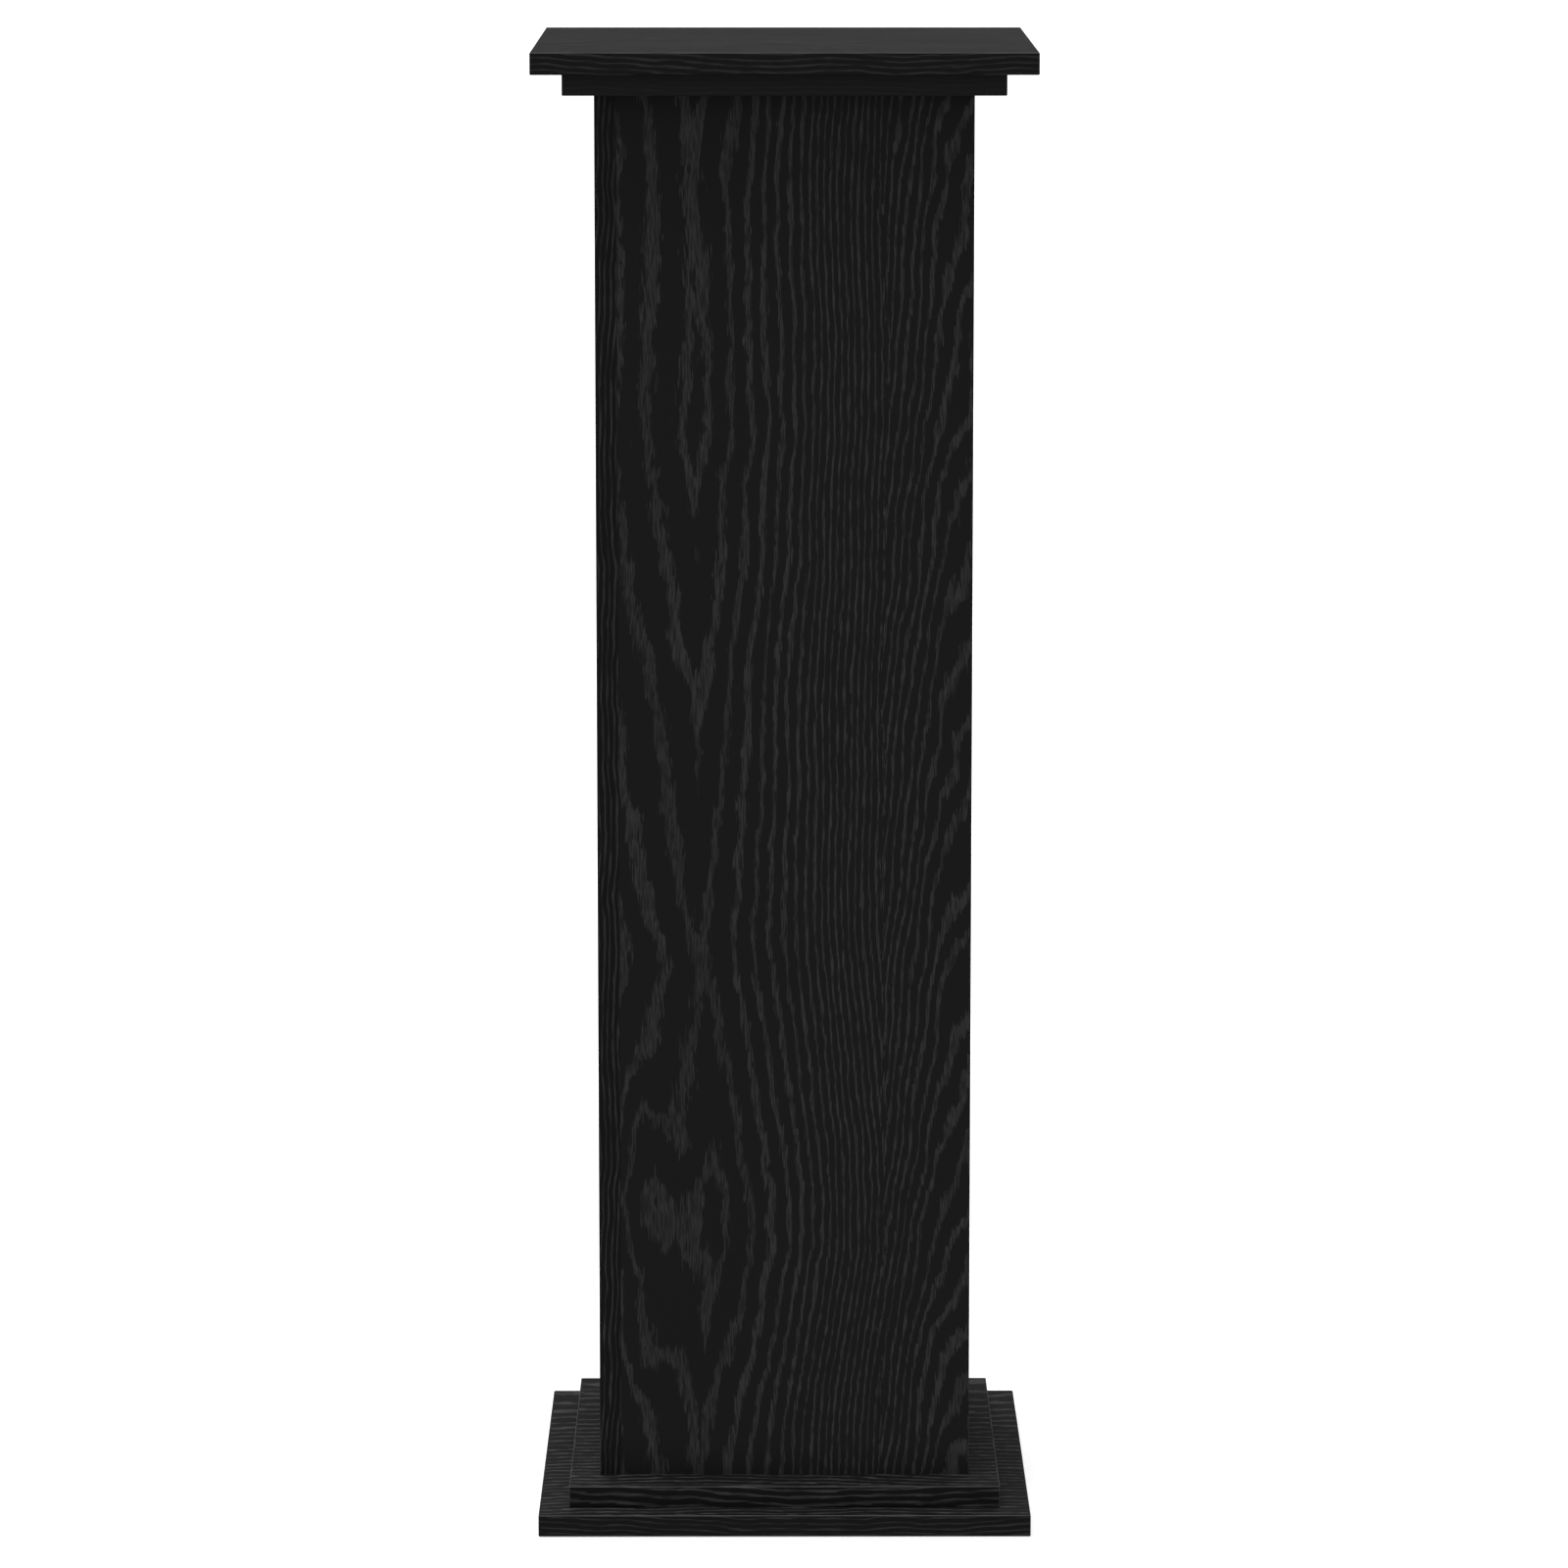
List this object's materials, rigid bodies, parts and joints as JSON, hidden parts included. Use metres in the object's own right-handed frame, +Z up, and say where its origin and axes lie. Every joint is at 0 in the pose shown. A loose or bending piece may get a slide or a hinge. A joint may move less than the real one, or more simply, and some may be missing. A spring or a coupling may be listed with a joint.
{
  "type": "display plinth",
  "caption": "Free-standing display plinth in black wood-look board: a hollow rectangular panelled column between stepped square base and top plates.",
  "frame": {"origin": "centre of the base plate's underside, on the floor", "axes": "+Z up; the front face, which shows the left panel's edge, faces -Y; +X is to the right of someone looking at the front"},
  "size_m": [0.34, 0.34, 1.02],
  "materials": {
    "black_oak_foil": "matt black oak grain foil on chipboard",
    "edge_band": "matt black grain-printed edge band",
    "beech": "plain turned beech",
    "zinc_steel": "bright zinc plate"
  },
  "bodies": {
    "root": {"back_panel": "black_oak_foil", "back_panel_band": "edge_band", "back_panel_connectors": "zinc_steel", "back_panel_corner_dowels": "beech", "back_panel_top_dowels": "beech", "base_plate": "black_oak_foil", "base_plate_back_band": "edge_band", "base_plate_front_band": "edge_band", "base_plate_left_band": "edge_band", "base_plate_right_band": "edge_band", "base_plate_screws": "zinc_steel", "base_step_plate": "black_oak_foil", "base_step_plate_back_band": "edge_band", "base_step_plate_front_band": "edge_band", "base_step_plate_left_band": "edge_band", "base_step_plate_right_band": "edge_band", "front_panel": "black_oak_foil", "front_panel_band": "edge_band", "front_panel_connectors": "zinc_steel", "front_panel_corner_dowels": "beech", "front_panel_top_dowels": "beech", "left_panel": "black_oak_foil", "left_panel_band": "edge_band", "left_panel_connectors": "zinc_steel", "left_panel_corner_dowels": "beech", "left_panel_top_dowels": "beech", "right_panel": "black_oak_foil", "right_panel_band": "edge_band", "right_panel_connectors": "zinc_steel", "right_panel_corner_dowels": "beech", "right_panel_top_dowels": "beech", "top_plate": "black_oak_foil", "top_plate_back_band": "edge_band", "top_plate_front_band": "edge_band", "top_plate_left_band": "edge_band", "top_plate_right_band": "edge_band", "top_plate_screws": "zinc_steel", "top_step_plate": "black_oak_foil", "top_step_plate_back_band": "edge_band", "top_step_plate_front_band": "edge_band", "top_step_plate_left_band": "edge_band", "top_step_plate_right_band": "edge_band"}
  },
  "joints": []
}
